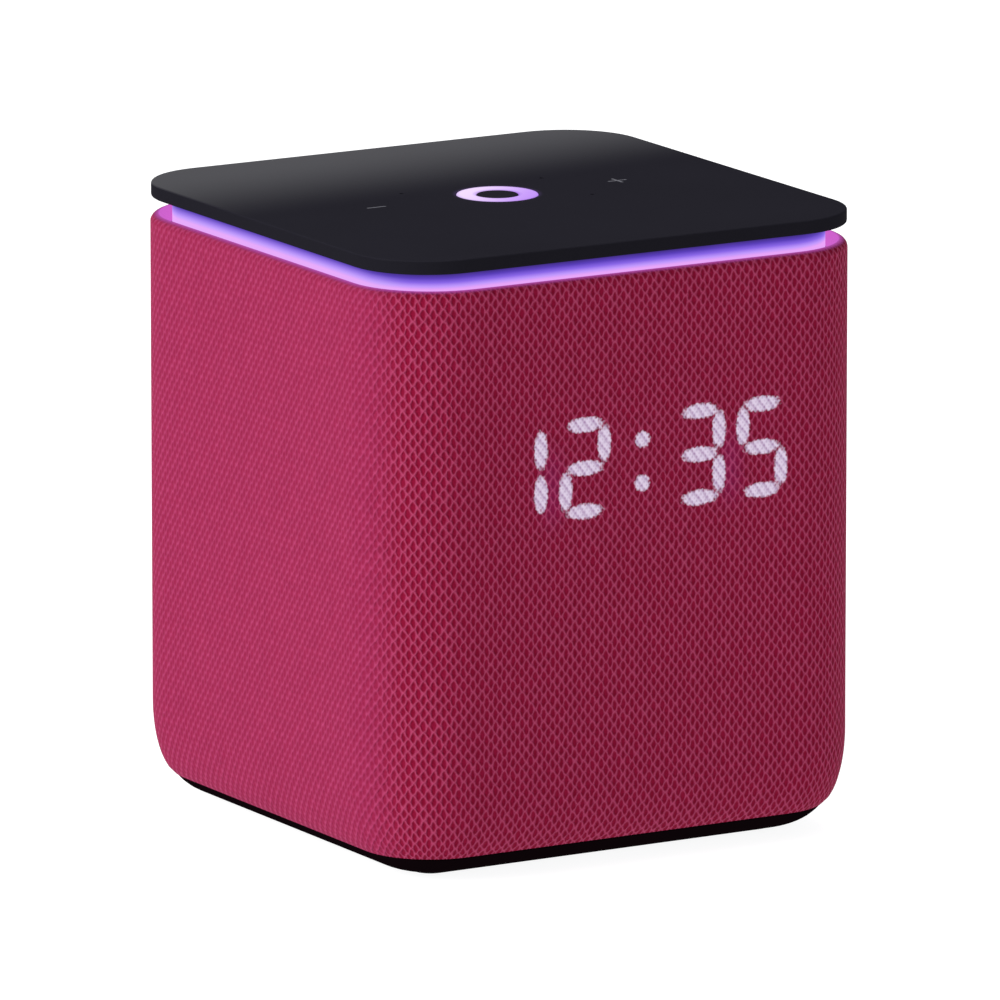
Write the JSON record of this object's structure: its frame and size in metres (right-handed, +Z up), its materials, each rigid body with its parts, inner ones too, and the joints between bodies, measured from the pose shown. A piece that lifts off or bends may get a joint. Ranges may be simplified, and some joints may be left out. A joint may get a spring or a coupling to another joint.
{
  "type": "smart speaker",
  "caption": "Cube-shaped smart speaker with rounded corners: knitted cloth sleeve over a clock display, glowing groove under a dark touch top, light ring, speakers inside.",
  "frame": {"origin": "centre of the footprint, on the surface the speaker stands on", "axes": "+Z up, -Y out of the front face that shows the clock, +X to the right as seen from the front"},
  "size_m": [0.131, 0.131, 0.148],
  "materials": {
    "satin_cover": "satin black",
    "dark_plastic": "fine matt",
    "cloth": "knitted",
    "light_diffuser": "frosted, lit",
    "rubber": "matt",
    "steel": "satin",
    "magnet": "sintered",
    "circuit_board": "solder mask",
    "cone_paper": "pressed pulp",
    "soft_rubber": "smooth",
    "copper": "enamelled",
    "foam": "open cell",
    "aluminium": "as extruded",
    "silk": "coated",
    "amber_film": "resin dipped"
  },
  "bodies": {
    "case": {"top_cover": "satin_cover", "window_cap": "satin_cover", "rear_panel": "satin_cover", "ring_window": "light_diffuser", "light_guide": "light_diffuser", "display_diffuser": "light_diffuser", "band_light_board": "circuit_board", "touch_board": "circuit_board", "display_board": "circuit_board", "main_board": "circuit_board", "rear_board": "circuit_board", "top_frame": "dark_plastic", "outer_shell": "dark_plastic", "base_plate": "dark_plastic", "display_mask": "dark_plastic", "enclosure_front": "dark_plastic", "enclosure_back": "dark_plastic", "left_tweeter_housing": "dark_plastic", "right_tweeter_housing": "dark_plastic", "radiator_frame": "dark_plastic", "inlet_socket": "dark_plastic", "top_screw_1": "steel", "top_screw_2": "steel", "top_screw_3": "steel", "top_screw_4": "steel", "base_screw_1": "steel", "base_screw_2": "steel", "base_screw_3": "steel", "base_screw_4": "steel", "woofer_screw_1": "steel", "woofer_screw_2": "steel", "woofer_screw_3": "steel", "woofer_screw_4": "steel", "woofer_pole_plate": "steel", "woofer_yoke": "steel", "shield_can": "steel", "mute_switch": "steel", "fabric_sleeve": "cloth", "rubber_foot": "rubber", "enclosure_seal": "rubber", "woofer_gasket": "rubber", "power_lead": "rubber", "damping_pad": "foam", "woofer_basket": "magnet", "woofer_magnet": "magnet", "left_tweeter_magnet": "magnet", "right_tweeter_magnet": "magnet", "woofer_surround": "soft_rubber", "radiator_surround": "soft_rubber", "antenna": "copper", "woofer_spider": "amber_film", "display_ribbon": "amber_film", "heat_sink": "aluminium"},
    "woofer_diaphragm": {"woofer_cone": "cone_paper", "woofer_dust_cap": "cone_paper", "woofer_voice_coil": "copper"},
    "left_tweeter_diaphragm": {"left_tweeter_dome": "silk"},
    "right_tweeter_diaphragm": {"right_tweeter_dome": "silk"},
    "radiator_diaphragm": {"radiator_plate": "dark_plastic"},
    "mute_knob": {"mute_slider": "satin_cover"}
  },
  "joints": [
    {"name": "woofer_travel", "type": "slide", "parent": "case", "child": "woofer_diaphragm", "axis": [0, -1, 0], "range_m": [-0.0035, 0.0035], "stiffness_N_per_m": 1500, "deforming": ["woofer_surround", "woofer_spider"]},
    {"name": "radiator_travel", "type": "slide", "parent": "case", "child": "radiator_diaphragm", "axis": [0, 1, 0], "range_m": [-0.005, 0.005], "stiffness_N_per_m": 900, "deforming": ["radiator_surround"]},
    {"name": "left_tweeter_travel", "type": "slide", "parent": "case", "child": "left_tweeter_diaphragm", "axis": [-1, 0, 0], "range_m": [-0.0003, 0.0003], "stiffness_N_per_m": 2000},
    {"name": "right_tweeter_travel", "type": "slide", "parent": "case", "child": "right_tweeter_diaphragm", "axis": [1, 0, 0], "range_m": [-0.0003, 0.0003], "stiffness_N_per_m": 2000},
    {"name": "mute_slide", "type": "slide", "parent": "case", "child": "mute_knob", "axis": [1, 0, 0], "range_m": [0, 0.002]}
  ]
}
